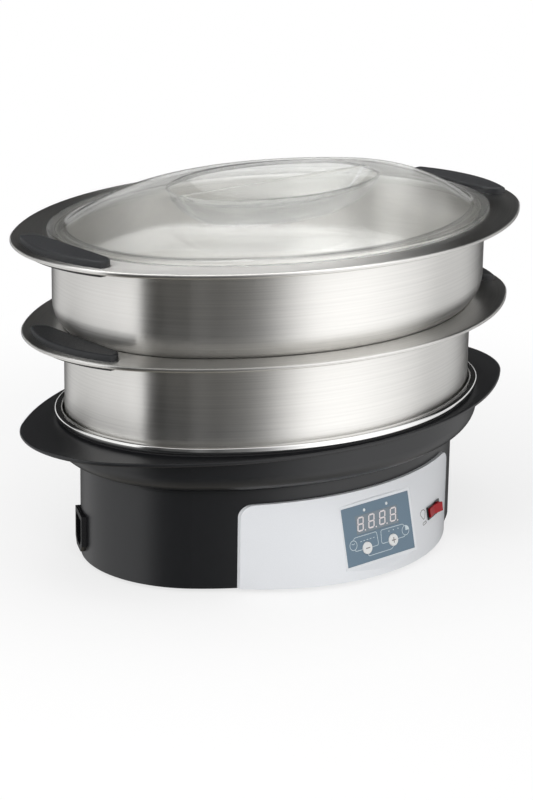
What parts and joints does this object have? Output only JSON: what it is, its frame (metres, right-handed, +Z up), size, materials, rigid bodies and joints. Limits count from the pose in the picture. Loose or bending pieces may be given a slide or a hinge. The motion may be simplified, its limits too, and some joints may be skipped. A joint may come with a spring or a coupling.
{
  "type": "oval two-tier steam cooker",
  "caption": "Oval electric steam cooker: black base with water basin and timer panel, stacked steel trays with grips, clear domed lid with recessed grip.",
  "frame": {"origin": "on the surface under the feet, at the middle of the oval", "axes": "+Z up, +X along the long axis to the right seen from the front, the control panel faces -Y"},
  "size_m": [0.4006, 0.289, 0.2588],
  "materials": {
    "black_plastic": "satin black moulding",
    "grip_plastic": "satin dark grey moulding",
    "gloss_black": "black moulding",
    "brushed_steel": "brushed",
    "polished_steel": "polished",
    "clear_lid": "clear",
    "silver_plate": "satin silver",
    "panel_blue": "printed foil",
    "display_face": "tinted window",
    "lamp_white": "clear lamp",
    "button_white": "satin",
    "rocker_red": "translucent red",
    "foot_rubber": "matte",
    "silicone": "matte",
    "screw_steel": "plain",
    "heater_aluminium": "cast",
    "heater_tube": "heat-tinted",
    "dark_component": "matte",
    "board_green": "solder mask",
    "brass": "plain"
  },
  "bodies": {
    "base": {"base_housing": "black_plastic", "base_collar": "black_plastic", "bottom_cover": "black_plastic", "cover_screws": "screw_steel", "rubber_feet": "foot_rubber", "water_basin": "polished_steel", "basin_gasket": "silicone", "heater_plate": "heater_aluminium", "heating_element": "heater_tube", "heater_clips": "screw_steel", "thermostat": "dark_component", "thermal_fuse": "dark_component", "front_plate": "silver_plate", "control_panel": "panel_blue", "display_module": "display_face", "indicator_leds": "lamp_white", "control_board": "board_green", "board_screws": "screw_steel", "tact_switches": "dark_component", "rocker_housing": "gloss_black", "rocker_contacts": "brass", "inlet_socket": "gloss_black", "inlet_pins": "brass", "power_board": "board_green", "power_board_screws": "screw_steel", "power_relay": "dark_component", "power_capacitor": "dark_component"},
    "rocker": {"rocker_paddle": "rocker_red"},
    "minus_key": {"minus_button": "button_white"},
    "plus_key": {"plus_button": "button_white"},
    "lower_tray": {"lower_tray": "brushed_steel", "lower_left_pad": "grip_plastic", "lower_left_grip": "grip_plastic", "lower_right_pad": "grip_plastic", "lower_right_grip": "grip_plastic", "lower_grip_screws": "screw_steel"},
    "upper_tray": {"upper_tray": "brushed_steel", "upper_left_pad": "grip_plastic", "upper_left_grip": "grip_plastic", "upper_right_pad": "grip_plastic", "upper_right_grip": "grip_plastic", "upper_grip_screws": "screw_steel"},
    "lid": {"lid": "clear_lid"}
  },
  "joints": [
    {"name": "lower_tray_lift", "type": "slide", "parent": "base", "child": "lower_tray", "axis": [0, 0, 1], "range_m": [0, 0.12]},
    {"name": "upper_tray_lift", "type": "slide", "parent": "lower_tray", "child": "upper_tray", "axis": [0, 0, 1], "range_m": [0, 0.1]},
    {"name": "lid_lift", "type": "slide", "parent": "upper_tray", "child": "lid", "axis": [0, 0, 1], "range_m": [0, 0.1]},
    {"name": "rocker_tilt", "type": "hinge", "parent": "base", "child": "rocker", "pos_m": [0.06631, -0.09902, 0.02959], "axis": [-0.058, 0.1208, 0.991], "range_deg": [0, 16]},
    {"name": "minus_press", "type": "slide", "parent": "base", "child": "minus_key", "axis": [-0.0238, 0.9741, -0.2249], "range_m": [0, 0.0006], "stiffness_N_per_m": 800, "springref_m": -0.0003},
    {"name": "plus_press", "type": "slide", "parent": "base", "child": "plus_key", "axis": [-0.0238, 0.9741, -0.2249], "range_m": [0, 0.0006], "stiffness_N_per_m": 800, "springref_m": -0.0003}
  ]
}
